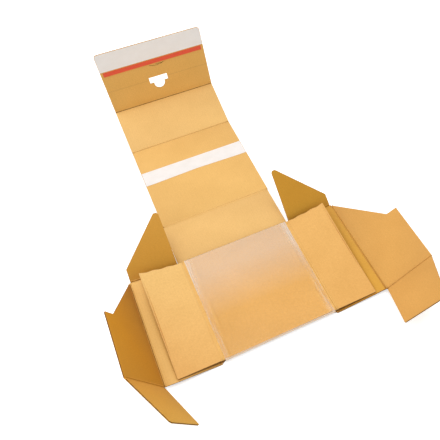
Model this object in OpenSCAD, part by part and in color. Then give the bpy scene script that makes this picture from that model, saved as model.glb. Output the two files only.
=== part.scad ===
// Corrugated mailer box with a film retention insert, shown opened out.
// One creased blank: a base, two side walls with dust flaps and top flaps,
// and a lid of four panels that wraps over, down the front and under the base.
// All sizes are in millimetres. The base lies on z = 0 and the lid is towards +Y.

/* [Board] */
// Thickness of the corrugated board
board_t = 1.6; // [1.2:0.1:2.2]
// Half of the gap left at each crease line
crease_gap = 0.1; // [0.05:0.05:0.2]
// Clearance between panels that lie on each other in the closed box
nest_gap = 0.4; // [0.3:0.1:0.8]

/* [Base and side walls] */
// Width of the base, left to right
base_w = 160; // [140:1:200]
// Depth of the base, front to lid
base_d = 158; // [140:1:190]
// Height of the side walls
wall_h = 69; // [66:1:90]
// How far the middle of the base's front edge is cut back
base_inset = 7; // [3:1:12]
// Width of the slanted run to the cut-back edge at each side
inset_run = 14; // [8:1:20]

/* [Rear dust flaps] */
// Length of a dust flap along its lower edge
dust_long = 78.5; // [60:0.5:78.5]
// Length of a dust flap along its upper edge
dust_short = 18; // [10:0.5:30]
// Width of the blunt tip of a dust flap
dust_tip = 11.5; // [9:0.5:20]
// Relief at the lower edge of a dust flap
dust_relief = 2.5; // [2.2:0.1:4]
// How much further the lower edge is cut back at the tip, to clear the rear wall
dust_taper = 3.8; // [3.8:0.1:4.6]

/* [Top flaps] */
// Width of a top flap from its crease to its outer edge
top_w = 71.5; // [60:0.5:78]
// How far the slanted rear edge runs across the flap
slant_w = 56.5; // [40:0.5:60]
// How far the slanted rear edge runs towards the front
slant_d = 70; // [40:1:90]

/* [Front dust flaps] */
// Length of a front flap at its inner edge
front_long = 66; // [50:1:66]
// How much longer a front flap is at its outer corner
front_rise = 4; // [0:0.5:4]
// How far the outer edge runs inwards from the crease to that corner
front_taper = 12; // [4:1:16]

/* [Lid panels] */
// How far the lid's panels stand out past the rear wall at each side
lid_over = 1; // [0:0.2:1.6]
// Play over the top flaps under the lid
lid_play = 0.8; // [0.6:0.1:1.5]
// Length of the closing flap
closing_len = 97; // [92:1:120]
// Distance of the score line across the closing flap from its crease
score_at = 36.5; // [33:0.5:38]
// Depth and half width of the score line
score_depth = 0.5; // [0.3:0.1:0.7]
// Corner radius at the free end of the closing flap
end_round = 5; // [2:1:10]

/* [Opening in the closing flap] */
// Width of the long part of the hole
slot_w = 29; // [20:1:34]
// Height of the long part of the hole
slot_h = 10; // [8:0.5:12]
// How much of the hole's height lies below the score line
slot_below = 6.3; // [4:0.1:7]
// Distance of the hole's centre from the middle of the flap
slot_x = 0; // [-20:1:20]
// Radius of the round lug below the hole
lug_r = 8.4; // [5:0.2:10]
// How far the lug's centre lies below the long part
lug_drop = 2; // [0:0.5:4]
// Distance of the curved tear nick from the crease of the closing flap
nick_at = 57.5; // [54:0.5:60]
// Sideways distance of the nick from the hole
nick_x = 3; // [-10:1:10]
// Length of the nick
nick_len = 22; // [16:1:30]
// Radius of the nick's curve
nick_r = 30; // [20:1:60]
// Width of the nick's cut
nick_w = 0.6; // [0.4:0.1:1]
// Radius of the small punched hole at the nick's right end
punch_r = 0.9; // [0.6:0.1:1.4]

/* [Strips] */
// Thickness of the peel strips and the tear tape
strip_t = 0.3; // [0.2:0.1:0.4]
// Width of the peel strip at the free end
end_strip_w = 27; // [15:1:28]
// Margin of that strip at the edges of the board
strip_margin = 0.4; // [0.4:0.1:2]
// Width of the peel strip on the top panel
mid_strip_w = 27; // [15:1:30]
// Distance of that strip from the crease of the front wall
mid_strip_at = 50; // [20:1:80]
// Width of the red tear tape
tape_w = 6.4; // [3:0.2:6.6]
// Space between the tear tape and the end strip
tape_gap = 1.4; // [0.5:0.1:2]
// Bare board at each end of the tear tape
tape_inset = 4; // [1:0.5:8]

/* [Insert] */
// Width of the insert's centre panel between its creases
insert_w = 154; // [130:1:154]
// Width of each insert flap
insert_flap = 56; // [40:1:60]
// Height of the middle of the insert's board above the table, at its front edge
insert_z = 6.5; // [5:0.1:6.5]
// How much higher the insert lies at its rear edge
insert_rise = 5; // [0:0.5:5]
// Play of the insert to the right of centre
insert_shift = 1; // [-1:0.5:1]
// Play at the insert's front and rear edges
insert_play = 0.5; // [0.4:0.1:2]
// Depth of the waves in the torn rear edges of the insert's flaps
torn_depth = 1.2; // [0.4:0.1:2]
// Clearance at the edge that rests on a side wall
rest_gap = 0.25; // [0.2:0.05:0.4]

/* [Film] */
// Thickness of the retention film as built
film_t = 0.25; // [0.2:0.05:0.3]
// Space between the film and the board
film_gap = 0.15; // [0.1:0.05:0.2]
// Width of the film sleeve
film_w = 148; // [100:1:148]
// Slack of the film in front of the board
film_slack = 1.4; // [0.1:0.1:1.4]

/* [Fold angles as shown] */
// Slope of the left side wall
wall_left = 6.5; // [0:0.5:10]
// Slope of the right side wall
wall_right = 5.5; // [0:0.5:10]
// Fold of the left top flap
top_left = 61; // [0:1:90]
// Fold of the right top flap
top_right = 27; // [0:1:90]
// Fold of the left rear dust flap
dust_left = 42; // [0:1:90]
// Fold of the right rear dust flap
dust_right = 49; // [0:1:90]
// Fold of the left front dust flap
front_left = 22; // [0:1:90]
// Fold of the right front dust flap
front_right = 25; // [0:1:90]
// Slope of the rear wall
rear_fold = 0.5; // [0:0.5:90]
// Fold between rear wall and top panel
lid_fold = 0.5; // [0:0.5:90]
// Fold between top panel and front wall
front_fold = 22.5; // [0:0.5:90]
// Fold between front wall and closing flap
closing_fold = 60.5; // [0:0.5:90]

/* [Hidden] */
$fn = 48;
kraft = "#D9A45B";
kraft_dark = "#C4903F";
half_t = board_t / 2;
rear_y = base_d / 2;
front_y = -base_d / 2;
// the dust flaps stand inside the rear wall, the front flaps outside the side walls
dust_y = rear_y - board_t - nest_gap;
hang_y = front_y - half_t - 0.2;
outer_y = hang_y - board_t - nest_gap;
rear_h = wall_h + board_t + lid_play;
lid_d = rear_y - outer_y;
lid_half = base_w / 2 + lid_over;
front_h = rear_h + board_t + strip_t + 0.5;
// the insert fits between the dust flaps and the front flaps of the closed box
insert_rear = dust_y - half_t - insert_play - film_gap - film_t;
insert_lean = asin(insert_rise / base_d);
insert_front = front_y + insert_play + film_gap + film_t + 0.6 * insert_flap * sin(insert_lean);
insert_d = insert_rear - insert_front;
left_axis = insert_w / 2 - insert_shift;
right_axis = insert_w / 2 + insert_shift;

// wave of a flap's torn rear edge: three scallops of unequal height, 0 to 1
torn_steps = 24;
function torn_wave(i) = 0.5 - 0.5 * cos(1080 * i / torn_steps) * (0.6 + 0.4 * i / torn_steps);

// tilt at which an insert flap's outer edge rests on a side wall
function rest_tilt(slope, axis_x) =
    slope - asin(((insert_z - half_t) * cos(slope) - (axis_x - base_w / 2) * sin(slope)
                  - board_t - rest_gap) / insert_flap);

// Board and crease shapes

// flat board from an outline, with the middle of its thickness on z = 0
module board(outline) {
    translate([0, 0, -half_t])
        linear_extrude(height = board_t)
            polygon(outline);
}

// cutter that bevels the inner face along a crease on the Y axis
module crease_y(length) {
    translate([0, length / 2, 0])
        rotate([90, 0, 0])
            linear_extrude(height = length)
                polygon([[crease_gap - 1, -1],
                         [crease_gap + board_t, board_t],
                         [crease_gap - 1, board_t]]);
}

// the same cutter for a crease on the X axis with the panel towards +Y
module crease_x(length) {
    rotate([0, 0, 90])
        mirror([0, 1, 0])
            crease_y(length);
}

// Places in the folded blank

module on_side(side, slope) {
    mirror([side < 0 ? 1 : 0, 0, 0])
        translate([base_w / 2, 0, half_t])
            rotate([0, -slope, 0])
                children();
}

module on_top_flap(side, slope, fold) {
    on_side(side, slope)
        translate([wall_h, 0, 0])
            rotate([0, -fold, 0])
                children();
}

module on_rear_wall() {
    translate([0, rear_y, half_t])
        rotate([rear_fold, 0, 0])
            children();
}

module on_top_panel() {
    on_rear_wall()
        translate([0, rear_h, 0])
            rotate([lid_fold, 0, 0])
                children();
}

module on_front_wall() {
    on_top_panel()
        translate([0, lid_d, 0])
            rotate([front_fold, 0, 0])
                children();
}

module on_closing_flap() {
    on_front_wall()
        translate([0, front_h, 0])
            rotate([closing_fold, 0, 0])
                children();
}

// Outer blank

module base_panel() {
    color(kraft)
        translate([0, 0, half_t])
            difference() {
                board([[-base_w / 2 + crease_gap, front_y],
                       [-base_w / 2 + inset_run, front_y + base_inset],
                       [base_w / 2 - inset_run, front_y + base_inset],
                       [base_w / 2 - crease_gap, front_y],
                       [base_w / 2 - crease_gap, rear_y - crease_gap],
                       [-base_w / 2 + crease_gap, rear_y - crease_gap]]);
                translate([-base_w / 2, 0, 0])
                    crease_y(base_d + 2);
                mirror([1, 0, 0])
                    translate([-base_w / 2, 0, 0])
                        crease_y(base_d + 2);
                mirror([0, 1, 0])
                    translate([0, -rear_y, 0])
                        crease_x(base_w + 2);
            }
}

module side_wall() {
    difference() {
        board([[crease_gap, front_y],
               [wall_h - crease_gap, front_y],
               [wall_h - crease_gap, dust_y - crease_gap],
               [crease_gap, dust_y - crease_gap]]);
        crease_y(base_d + 2);
        translate([wall_h, 0, 0])
            mirror([1, 0, 0])
                crease_y(base_d + 2);
        translate([wall_h / 2, dust_y, 0])
            mirror([0, 1, 0])
                crease_x(wall_h + 2);
    }
}

module left_side_wall() {
    color(kraft)
        on_side(-1, wall_left)
            side_wall();
}

module right_side_wall() {
    color(kraft)
        on_side(1, wall_right)
            side_wall();
}

// dust flap: long at the base, slanted down to a short upper edge, blunt tip
module rear_dust_flap(fold) {
    upper = wall_h - board_t - nest_gap;
    translate([0, dust_y, 0])
        rotate([fold, 0, 0])
            difference() {
                board([[dust_relief, crease_gap],
                       [upper, crease_gap],
                       [upper, dust_short],
                       [dust_relief + dust_tip, dust_long - 1.5],
                       [dust_relief + dust_tip - 2, dust_long],
                       [dust_relief + dust_taper + 2, dust_long],
                       [dust_relief + dust_taper, dust_long - 3]]);
                translate([wall_h / 2, 0, 0])
                    crease_x(wall_h + 2);
            }
}

module left_rear_dust_flap() {
    color(kraft_dark)
        on_side(-1, wall_left)
            rear_dust_flap(dust_left);
}

module right_rear_dust_flap() {
    color(kraft_dark)
        on_side(1, wall_right)
            rear_dust_flap(dust_right);
}

// top flap: slanted rear edge, then a short straight tooth out to the edge
module top_flap() {
    difference() {
        board([[crease_gap, hang_y + crease_gap],
               [top_w, hang_y + crease_gap],
               [top_w, dust_y - slant_d - 1],
               [slant_w, dust_y - slant_d],
               [crease_gap, dust_y - 1.5]]);
        crease_y(base_d + 20);
        translate([top_w / 2, hang_y, 0])
            crease_x(top_w + 2);
    }
}

module left_top_flap() {
    color(kraft_dark)
        on_side(-1, wall_left)
            translate([wall_h, 0, 0])
                rotate([0, -top_left, 0])
                    top_flap();
}

module right_top_flap() {
    color(kraft)
        on_top_flap(1, wall_right, top_right)
            top_flap();
}

// front flap: its outer edge tapers inwards, its far edge rises to the outer corner
module front_dust_flap(fold) {
    inner = 1.2;
    outer = top_w - 0.6;
    far = front_long + front_rise;
    translate([0, hang_y, 0])
        rotate([-fold, 0, 0])
            mirror([0, 1, 0])
                difference() {
                    board([[inner, crease_gap],
                           [outer, crease_gap],
                           [outer - front_taper * (far - 2) / far, far - 2],
                           [outer - front_taper - 2, far],
                           [inner + 1, front_long],
                           [inner, front_long - 1]]);
                    translate([top_w / 2, 0, 0])
                        crease_x(top_w + 2);
                }
}

module left_front_dust_flap() {
    color(kraft_dark)
        on_top_flap(-1, wall_left, top_left)
            front_dust_flap(front_left);
}

module right_front_dust_flap() {
    color(kraft)
        on_top_flap(1, wall_right, top_right)
            front_dust_flap(front_right);
}

// Lid

// one lid panel between two creases, both bevelled on the inner face
module lid_panel(length, half) {
    difference() {
        board([[-half, crease_gap],
               [half, crease_gap],
               [half, length - crease_gap],
               [-half, length - crease_gap]]);
        crease_x(2 * half + 2);
        translate([0, length, 0])
            mirror([0, 1, 0])
                crease_x(2 * half + 2);
    }
}

module rear_wall() {
    color(kraft)
        on_rear_wall()
            lid_panel(rear_h, base_w / 2);
}

module top_panel() {
    color(kraft)
        on_top_panel()
            lid_panel(lid_d, lid_half);
}

module front_wall() {
    color(kraft)
        on_front_wall()
            lid_panel(front_h, lid_half);
}

// hole across the score line: a long slot with a round lug below it
module slot_cut() {
    translate([slot_x, score_at - slot_below, 0]) {
        translate([-slot_w / 2, 0, -board_t])
            cube([slot_w, slot_h, 2 * board_t]);
        translate([0, -lug_drop, -board_t])
            cylinder(r = lug_r, h = 2 * board_t);
    }
}

// thin curved cut of the tear nick, with a small punched hole at its right end
module nick_cut() {
    translate([slot_x + nick_x, nick_at + nick_r, 0]) {
        intersection() {
            difference() {
                translate([0, 0, -board_t])
                    cylinder(r = nick_r, h = 2 * board_t);
                translate([0, 0, -2 * board_t])
                    cylinder(r = nick_r - nick_w, h = 4 * board_t);
            }
            translate([-nick_len / 2, -nick_r - 1, -board_t])
                cube([nick_len, nick_r, 2 * board_t]);
        }
        rotate([0, 0, asin(0.5 * nick_len / nick_r) * 0.8])
            translate([0, -nick_r + nick_w / 2, -board_t])
                cylinder(r = punch_r, h = 2 * board_t);
    }
}

// outline of the closing flap's free end, drawn back from its edges by a margin
module end_outline(from, margin, thick) {
    half = lid_half - margin;
    far = closing_len - margin;
    linear_extrude(height = thick)
        polygon([[-half, from],
                 [half, from],
                 [half, far - end_round],
                 [half - end_round, far],
                 [-half + end_round, far],
                 [-half, far - end_round]]);
    for (side = [-1, 1])
        translate([side * (half - end_round), far - end_round, 0])
            cylinder(r = end_round, h = thick);
}

module closing_flap() {
    color(kraft_dark)
        on_closing_flap()
            difference() {
                translate([0, 0, -half_t])
                    end_outline(crease_gap, 0, board_t);
                crease_x(2 * lid_half + 2);
                translate([0, score_at, half_t])
                    rotate([0, 90, 0])
                        linear_extrude(height = 2 * lid_half + 2, center = true)
                            polygon([[score_depth, 0],
                                     [-0.1, score_depth + 0.1],
                                     [-0.1, -score_depth - 0.1]]);
                slot_cut();
                nick_cut();
            }
}

// Strips

// strip across the lid on a panel's inner face
module strip(length, width) {
    translate([-length / 2, 0, half_t])
        cube([length, width, strip_t]);
}

module return_peel_strip() {
    color("#F3EFEA")
        on_top_panel()
            translate([0, lid_d - mid_strip_at - mid_strip_w, 0])
                strip(2 * lid_half - 1, mid_strip_w);
}

module end_peel_strip() {
    color("#E6DED8")
        on_closing_flap()
            translate([0, 0, half_t])
                end_outline(closing_len - end_strip_w - strip_margin, strip_margin, strip_t);
}

module tear_tape() {
    color("#D9432C")
        on_closing_flap()
            translate([0, closing_len - end_strip_w - strip_margin - tape_gap - tape_w, 0])
                strip(2 * lid_half - 2 * tape_inset, tape_w);
}

// Insert

// the insert leans on its front edge, its rear edge held up behind
module on_insert() {
    translate([0, insert_front, insert_z])
        rotate([insert_lean, 0, 0])
            translate([0, -insert_front, 0])
                children();
}

module insert_panel() {
    color(kraft)
        on_insert()
            translate([insert_shift, 0, 0])
                difference() {
                    board([[-insert_w / 2 + crease_gap, insert_front],
                           [insert_w / 2 - crease_gap, insert_front],
                           [insert_w / 2 - crease_gap, insert_rear],
                           [-insert_w / 2 + crease_gap, insert_rear]]);
                    for (side = [0, 1])
                        for (face = [0, 1])
                            mirror([side, 0, 0])
                                mirror([0, 0, face])
                                    translate([-insert_w / 2, 0, 0])
                                        crease_y(base_d + 2);
                }
}

module insert_side_flap(tilt) {
    rotate([0, -tilt, 0])
        difference() {
            board(concat([[crease_gap, insert_front],
                          [insert_flap, insert_front]],
                         [for (i = [torn_steps:-1:0])
                             [crease_gap + (insert_flap - crease_gap) * i / torn_steps,
                              insert_rear - torn_depth * torn_wave(i)]]));
            for (face = [0, 1])
                mirror([0, 0, face])
                    crease_y(base_d + 2);
        }
}

module insert_left_flap() {
    color(kraft)
        on_insert()
            mirror([1, 0, 0])
                translate([left_axis, 0, 0])
                    insert_side_flap(rest_tilt(wall_left, left_axis));
}

module insert_right_flap() {
    color(kraft)
        on_insert()
            translate([right_axis, 0, 0])
                insert_side_flap(rest_tilt(wall_right, right_axis));
}

// clear sleeve round the centre panel, open to the left and right
module retention_film() {
    inner_h = board_t + 2 * film_gap;
    outer_h = inner_h + 2 * film_t;
    inner_d = insert_d + 2 * film_gap;
    outer_d = inner_d + 2 * film_t;
    slack = [0, -film_slack / 2, 0];
    color([0.92, 0.94, 0.95, 0.35])
        on_insert()
            translate([insert_shift, (insert_front + insert_rear) / 2, 0])
                difference() {
                    translate(slack)
                        cube([film_w, outer_d + film_slack, outer_h], center = true);
                    translate(slack)
                        cube([film_w + 2, inner_d + film_slack, inner_h], center = true);
                }
}

base_panel();
left_side_wall();
right_side_wall();
left_rear_dust_flap();
right_rear_dust_flap();
left_top_flap();
right_top_flap();
left_front_dust_flap();
right_front_dust_flap();
rear_wall();
top_panel();
front_wall();
closing_flap();
return_peel_strip();
end_peel_strip();
tear_tape();
insert_panel();
insert_left_flap();
insert_right_flap();
retention_film();
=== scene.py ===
"""Corrugated mailer box, opened out, with its retention insert: looks for the CAD frame."""

import math

import bmesh
import bpy
from mathutils import Matrix, Vector
from mathutils.geometry import tessellate_polygon


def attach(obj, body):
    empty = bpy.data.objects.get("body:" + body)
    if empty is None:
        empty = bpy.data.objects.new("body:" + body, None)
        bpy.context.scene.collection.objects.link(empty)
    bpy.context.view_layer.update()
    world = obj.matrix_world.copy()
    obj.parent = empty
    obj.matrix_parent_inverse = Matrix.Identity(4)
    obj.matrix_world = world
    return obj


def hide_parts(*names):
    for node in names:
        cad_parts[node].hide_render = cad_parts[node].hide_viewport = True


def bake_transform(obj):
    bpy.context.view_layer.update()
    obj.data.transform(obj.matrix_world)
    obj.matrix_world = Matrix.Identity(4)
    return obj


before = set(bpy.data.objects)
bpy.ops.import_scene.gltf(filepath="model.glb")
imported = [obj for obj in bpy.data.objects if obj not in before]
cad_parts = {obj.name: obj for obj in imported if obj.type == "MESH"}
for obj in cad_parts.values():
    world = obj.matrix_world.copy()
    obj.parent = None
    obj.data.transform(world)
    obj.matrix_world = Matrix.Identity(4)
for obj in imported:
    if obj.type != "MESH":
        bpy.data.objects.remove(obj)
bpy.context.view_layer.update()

MM = 0.001

# Board and folded blank, in millimetres, as in the part's source
BOARD_T = 1.6
HALF_T = BOARD_T / 2
CREASE_GAP = 0.1
NEST_GAP = 0.4
HANG_GAP = 0.2
BASE_W = 160.0
BASE_D = 158.0
WALL_H = 69.0
BASE_INSET = 7.0
INSET_RUN = 14.0
DUST_LONG = 78.5
DUST_SHORT = 18.0
DUST_TIP = 11.5
DUST_RELIEF = 2.5
DUST_TAPER = 3.8
TOP_W = 71.5
SLANT_W = 56.5
SLANT_D = 70.0
FRONT_LONG = 66.0
FRONT_RISE = 4.0
FRONT_TAPER = 12.0
FRONT_EDGE_IN = 0.6
LID_OVER = 1.0
LID_HALF = BASE_W / 2 + LID_OVER
LID_PLAY = 0.8
FRONT_PLAY = 0.5
CLOSING_LEN = 97.0
SCORE_AT = 36.5
END_ROUND = 5.0
STRIP_T = 0.3
REAR_Y = BASE_D / 2
FRONT_Y = -BASE_D / 2
DUST_Y = REAR_Y - BOARD_T - NEST_GAP
HANG_Y = FRONT_Y - HALF_T - HANG_GAP
OUTER_Y = HANG_Y - BOARD_T - NEST_GAP
REAR_H = WALL_H + BOARD_T + LID_PLAY
LID_D = REAR_Y - OUTER_Y
FRONT_H = REAR_H + BOARD_T + STRIP_T + FRONT_PLAY

# Hole, nick and strips of the lid
SLOT_W = 29.0
SLOT_H = 10.0
SLOT_LOW = SCORE_AT - 6.3
LUG_R = 8.4
LUG_DROP = 2.0
NICK_X = 3.0
NICK_AT = 57.5
NICK_LEN = 22.0
NICK_R = 30.0
NICK_W = 0.6
PUNCH_R = 0.9
END_STRIP_W = 27.0
STRIP_MARGIN = 0.4
MID_STRIP_W = 27.0
MID_STRIP_AT = 50.0
MID_STRIP_MARGIN = 0.5
MID_STRIP_RISE = 2.0
TAPE_W = 6.4
TAPE_GAP = 1.4
TAPE_INSET = 4.0

# Insert and film
INSERT_W = 154.0
INSERT_FLAP = 56.0
INSERT_Z = 6.5
INSERT_RISE = 5.0
LEAN_SHARE = 0.6
INSERT_LEAN = math.degrees(math.asin(INSERT_RISE / BASE_D))
INSERT_SHIFT = 1.0
INSERT_PLAY = 0.5
FILM_T = 0.25
FILM_GAP = 0.15
FILM_W = 148.0
FILM_SLACK = 1.4
FILM_X_STEPS = 148
FILM_Y_STEPS = 80
FILM_UNDER = 0.3
FILM_OVER = 0.03
INSERT_REAR = DUST_Y - HALF_T - INSERT_PLAY - FILM_GAP - FILM_T
INSERT_FRONT = (FRONT_Y + INSERT_PLAY + FILM_GAP + FILM_T
                + LEAN_SHARE * INSERT_FLAP * math.sin(math.radians(INSERT_LEAN)))
REST_GAP = 0.25
TORN_DEPTH = 1.2
TORN_STEPS = 24
TORN_WAVES = 3

# Fold angles at rest, in degrees
WALL_SLOPE = {-1: 6.5, 1: 5.5}
TOP_FOLD = {-1: 61.0, 1: 27.0}
DUST_FOLD = {-1: 42.0, 1: 49.0}
FRONT_FOLD = {-1: 22.0, 1: 25.0}
LID_FOLDS = (0.5, 0.5, 22.5, 60.5)

# Paper and flutes
LINER_T = 0.24
FLUTE_PITCH = 3.3
FLUTE_SAMPLES = 8
MEDIUM_T = 0.18
FLUTE_SIDE_GAP = 0.05
FLUTE_END_GAP = 0.04
FLUTE_MIN_RUN = 0.5
# Rim value of the wavy paper: painted shade in the open flutes at the cut edges
FLUTE_SHADE = 2.6
RIM_W = 1.1
CLOSING_RIM_W = 0.25
STRIP_RIM_W = 0.5
BEVEL_IN = 0.95
HOLE_WEAR = 0.15
EDGE_REACH = 0.5

SIDES = (-1, 1)
SIDE_NAME = {-1: "left", 1: "right"}


def sin(deg):
    return math.sin(math.radians(deg))


def cos(deg):
    return math.cos(math.radians(deg))


# Places of the folded panels. Each is an origin in millimetres and three axes,
# with x and y in the flat blank's directions and z towards the inner face.

def place(origin, x_axis, y_axis):
    x_axis = Vector(x_axis).normalized()
    y_axis = Vector(y_axis).normalized()
    return Vector(origin), x_axis, y_axis, x_axis.cross(y_axis)


def turned(base, shift, axis, angle):
    """A place moved by shift along base's axes, then turned about its own x or y axis."""
    origin, x_axis, y_axis, z_axis = base
    origin = origin + x_axis * shift[0] + y_axis * shift[1]
    turn = Matrix.Rotation(math.radians(angle), 3, x_axis if axis == "x" else y_axis)
    return place(origin, turn @ x_axis, turn @ y_axis)


def to_row(where, point):
    """A point in a place's own millimetres, in the row frame's metres."""
    origin, x_axis, y_axis, z_axis = where
    return (origin + x_axis * point[0] + y_axis * point[1] + z_axis * point[2]) * MM


BASE = place((0, 0, HALF_T), (1, 0, 0), (0, 1, 0))
WALL, DUST, TOP, FRONT = {}, {}, {}, {}
for sign in SIDES:
    WALL[sign] = turned(BASE, (sign * BASE_W / 2, 0), "y", -sign * WALL_SLOPE[sign])
    DUST[sign] = turned(WALL[sign], (0, DUST_Y), "x", DUST_FOLD[sign])
    TOP[sign] = turned(WALL[sign], (sign * WALL_H, 0), "y", -sign * TOP_FOLD[sign])
    FRONT[sign] = turned(TOP[sign], (0, HANG_Y), "x", -FRONT_FOLD[sign])
LID = [turned(BASE, (0, REAR_Y), "x", LID_FOLDS[0])]
for step, fold in zip((REAR_H, LID_D, FRONT_H), LID_FOLDS[1:]):
    LID.append(turned(LID[-1], (0, step), "x", fold))
INSERT = place((INSERT_SHIFT, INSERT_FRONT, INSERT_Z), (1, 0, 0), (0, 1, 0))
INSERT = turned(INSERT, (0, 0), "x", INSERT_LEAN)
INSERT = place(INSERT[0] - INSERT[2] * INSERT_FRONT, INSERT[1], INSERT[2])


def rest_tilt(slope, axis_x):
    """How far an insert flap tilts, from its crease at axis_x, to rest on a wall."""
    rise = (INSERT_Z - HALF_T) * cos(slope) - (axis_x - BASE_W / 2) * sin(slope)
    return slope - math.degrees(math.asin((rise - BOARD_T - REST_GAP) / INSERT_FLAP))


INSERT_SIDE = {}
for sign in SIDES:
    tilt = rest_tilt(WALL_SLOPE[sign], INSERT_W / 2 + sign * INSERT_SHIFT)
    INSERT_SIDE[sign] = turned(INSERT, (sign * INSERT_W / 2, 0), "y", -sign * tilt)

# Where each place's own origin lies in the flat blank, for one continuous paper pattern
INSERT_SHEET_X = 400
FLAT = {"base": (0, 0), "insert": (INSERT_SHEET_X, 0)}
for sign in SIDES:
    FLAT["wall", sign] = (sign * BASE_W / 2, 0)
    FLAT["dust", sign] = (sign * BASE_W / 2, DUST_Y)
    FLAT["top", sign] = (sign * (BASE_W / 2 + WALL_H), 0)
    FLAT["front", sign] = (sign * (BASE_W / 2 + WALL_H), HANG_Y)
    FLAT["insert", sign] = (INSERT_SHEET_X + sign * INSERT_W / 2, 0)
LID_FLAT = [(0, REAR_Y)]
for step in (REAR_H, LID_D, FRONT_H):
    LID_FLAT.append((0, LID_FLAT[-1][1] + step))


# Outlines in each panel's own x and y. The argument is the set-back of creased edges,
# and the corners are cut by small fixed steps.

def mirrored(points, side):
    return points if side > 0 else [(-x, y) for x, y in reversed(points)]


def arc(centre, radius, start, end, steps):
    points = []
    for i in range(steps + 1):
        angle = start + (end - start) * i / steps
        points.append((centre[0] + radius * cos(angle), centre[1] + radius * sin(angle)))
    return points


def base_outline(setback):
    half = BASE_W / 2 - setback
    run = BASE_W / 2 - INSET_RUN
    back = FRONT_Y + BASE_INSET
    return [(-half, FRONT_Y), (-run, back), (run, back), (half, FRONT_Y),
            (half, REAR_Y - setback), (-half, REAR_Y - setback)]


def wall_outline(setback):
    far = WALL_H - setback
    rear = DUST_Y - setback
    return [(setback, FRONT_Y), (far, FRONT_Y), (far, rear), (setback, rear)]


def dust_outline(setback):
    upper = WALL_H - BOARD_T - NEST_GAP
    return [
        (DUST_RELIEF, setback),
        (upper, setback),
        (upper, DUST_SHORT),
        (DUST_RELIEF + DUST_TIP, DUST_LONG - 1.5),
        (DUST_RELIEF + DUST_TIP - 2, DUST_LONG),
        (DUST_RELIEF + DUST_TAPER + 2, DUST_LONG),
        (DUST_RELIEF + DUST_TAPER, DUST_LONG - 3),
    ]


def top_outline(setback):
    return [
        (setback, HANG_Y + setback),
        (TOP_W, HANG_Y + setback),
        (TOP_W, DUST_Y - SLANT_D - 1),
        (SLANT_W, DUST_Y - SLANT_D),
        (setback, DUST_Y - 1.5 - (setback - CREASE_GAP) * 1.2),
    ]


def front_outline(setback):
    far = FRONT_LONG + FRONT_RISE
    outer = TOP_W - FRONT_EDGE_IN
    points = [
        (1.2, setback), (1.2, FRONT_LONG - 1), (2.2, FRONT_LONG), (outer - FRONT_TAPER - 2, far),
        (outer - FRONT_TAPER * (far - 2) / far, far - 2), (outer, setback),
    ]
    return [(x, -y) for x, y in points]


def lid_outline(length, left=LID_HALF, right=LID_HALF):
    def outline(setback):
        far = length - setback
        return [(-left, setback), (right, setback), (right, far), (-left, far)]
    return outline


def end_points(start, margin):
    half = LID_HALF - margin
    far = CLOSING_LEN - margin
    right = arc((half - END_ROUND, far - END_ROUND), END_ROUND, 0, 90, 8)
    left = [(-x, y) for x, y in reversed(right)]
    return [(-half, start), (half, start)] + right + left


def closing_outline(setback):
    return end_points(setback, 0)


def hole_loop():
    low = SLOT_LOW
    half = SLOT_W / 2
    lug_y = low - LUG_DROP
    edge = math.degrees(math.asin(LUG_DROP / LUG_R))
    lug = arc((0, lug_y), LUG_R, edge, -180 - edge, 20)
    return [(half, low)] + lug + [(-half, low), (-half, low + SLOT_H), (half, low + SLOT_H)]


def nick_loop():
    """A thin curved slit that ends in a small punched hole on the right."""
    half = math.degrees(math.asin(NICK_LEN / 2 / NICK_R))
    centre = (NICK_X, NICK_AT + NICK_R)
    turn = -90 + half * 0.8
    stop = turn - 1.6
    upper = arc(centre, NICK_R - NICK_W, -90 - half, stop, 12)
    lower = arc(centre, NICK_R, stop, -90 - half, 12)
    middle = NICK_R - NICK_W / 2
    hub = (centre[0] + middle * cos(turn), centre[1] + middle * sin(turn))
    punch = arc(hub, PUNCH_R, turn - 110, turn - 430, 12)
    return upper + punch + lower


def torn_wave(i):
    """How deep the insert flap's torn rear edge is at a step, from 0 to 1."""
    share = i / TORN_STEPS
    return 0.5 - 0.5 * cos(360 * TORN_WAVES * share) * (0.6 + 0.4 * share)


def insert_outline(setback):
    half = INSERT_W / 2 - setback
    return [(-half, INSERT_FRONT), (half, INSERT_FRONT), (half, INSERT_REAR), (-half, INSERT_REAR)]


def insert_flap_outline(setback):
    points = [(setback, INSERT_FRONT), (INSERT_FLAP, INSERT_FRONT)]
    for i in range(TORN_STEPS, -1, -1):
        x = setback + (INSERT_FLAP - setback) * i / TORN_STEPS
        points.append((x, INSERT_REAR - TORN_DEPTH * torn_wave(i)))
    return points


# Mesh helpers

def paint_light_and_shade(mesh, colour, contact_shade=1.0):
    """Stores a piece's painted light and shade on its mesh, and how far the painted shade of nearby
    parts darkens it.
    """
    layer = mesh.attributes.new("tint", "FLOAT_COLOR", "POINT")
    layer.data.foreach_set("color", [*colour, contact_shade] * len(mesh.vertices))


def linked(name, bm, material):
    """The finished mesh as an object of the scene."""
    mesh = bpy.data.meshes.new(name)
    bm.to_mesh(mesh)
    bm.free()
    mesh.materials.append(material)
    obj = bpy.data.objects.new(name, mesh)
    bpy.context.scene.collection.objects.link(obj)
    return obj


def new_object(name, bm, where, flat, material, smooth=False):
    """bm is in a place's own millimetres; it is moved to the row frame, in metres."""
    uv = bm.loops.layers.uv.new("blank")
    for face in bm.faces:
        face.smooth = smooth
        for loop in face.loops:
            u, v = loop.vert.co.x + flat[0], loop.vert.co.y + flat[1]
            loop[uv].uv = (u * MM, v * MM)
    for vert in bm.verts:
        vert.co = to_row(where, vert.co)
    return linked(name, bm, material)


def signed_area(loop):
    """Area inside a closed outline, above zero where it runs anticlockwise."""
    total = 0.0
    for (x0, y0), (x1, y1) in zip(loop, loop[1:] + loop[:1]):
        total += x0 * y1 - x1 * y0
    return total / 2


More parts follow.
